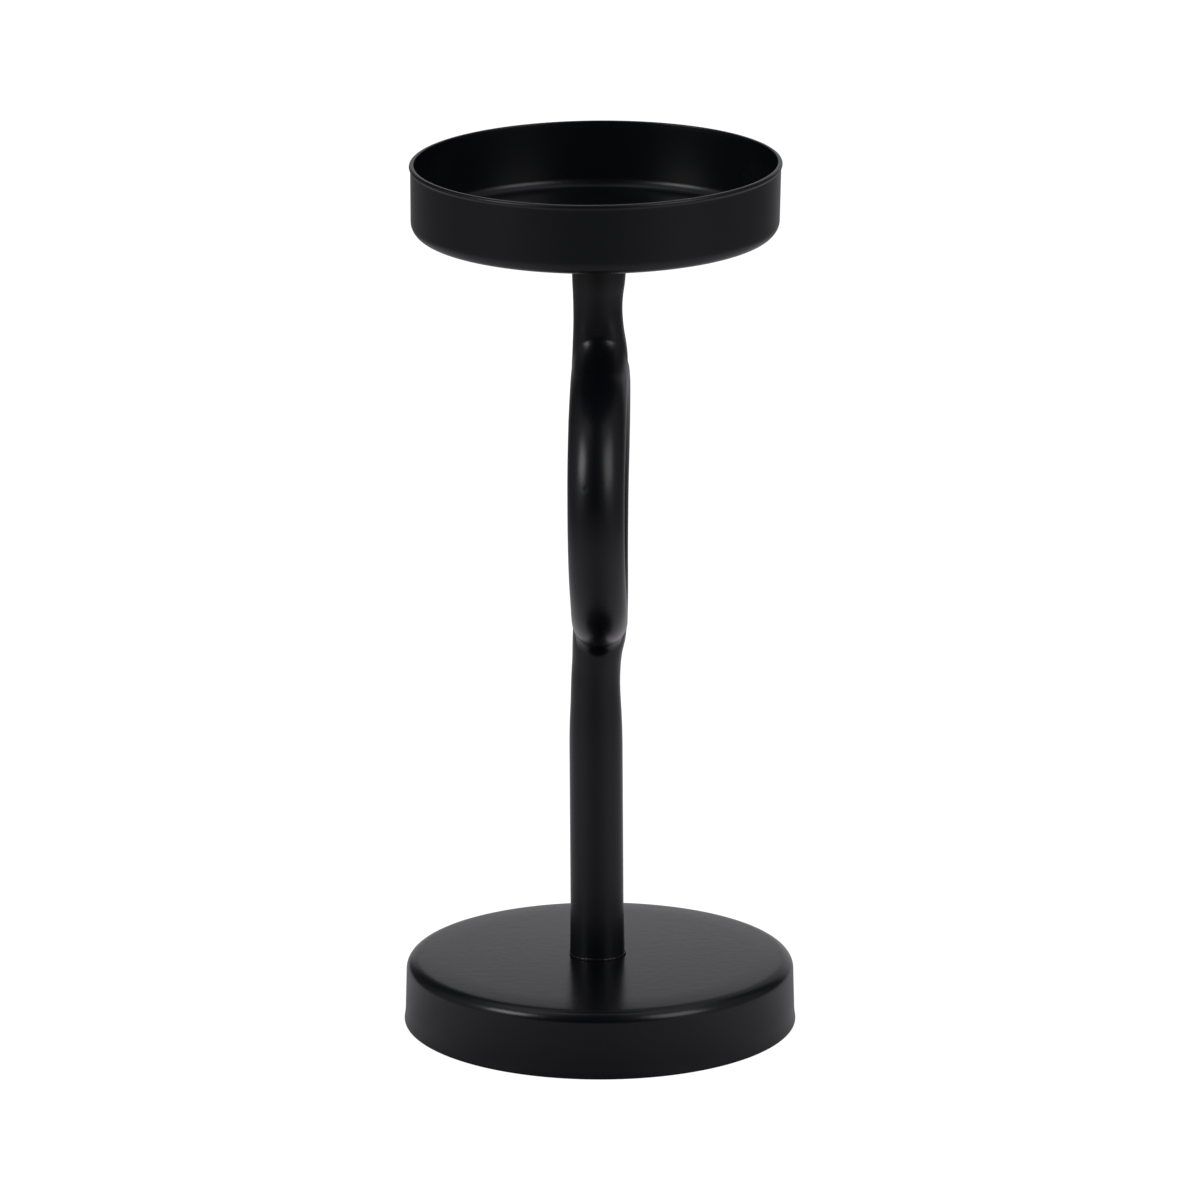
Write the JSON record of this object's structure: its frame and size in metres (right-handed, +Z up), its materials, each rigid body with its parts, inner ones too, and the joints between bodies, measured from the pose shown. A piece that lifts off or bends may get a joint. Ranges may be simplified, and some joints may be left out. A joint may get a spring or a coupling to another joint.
{
  "type": "candle_holder",
  "caption": "Black pillar candle holder: shallow round dish on a tubular stem with a round bent-tube ring set edge-on in its middle, on a weighted round base",
  "frame": {"origin": "centre of the base's lower face, on the table", "axes": "+Z up through the stem; the ring lies in the plane of Y and Z, so that its opening runs along X; -Y faces the viewer of the picture"},
  "size_m": [0.12, 0.12, 0.27],
  "materials": {
    "black_coat": "satin",
    "plain_steel": "satin",
    "raw_iron": "matte",
    "pad": "matte"
  },
  "bodies": {
    "root": {"dish": "black_coat", "dish_screw": "plain_steel", "upper_insert": "plain_steel", "upper_stem": "black_coat", "upper_weld": "black_coat", "ring": "black_coat", "lower_weld": "black_coat", "lower_stem": "black_coat", "lower_insert": "plain_steel", "foot_bead": "black_coat", "base_cover": "black_coat", "ballast": "raw_iron", "base_washer": "plain_steel", "base_bolt": "plain_steel", "base_pad": "pad"}
  },
  "joints": []
}
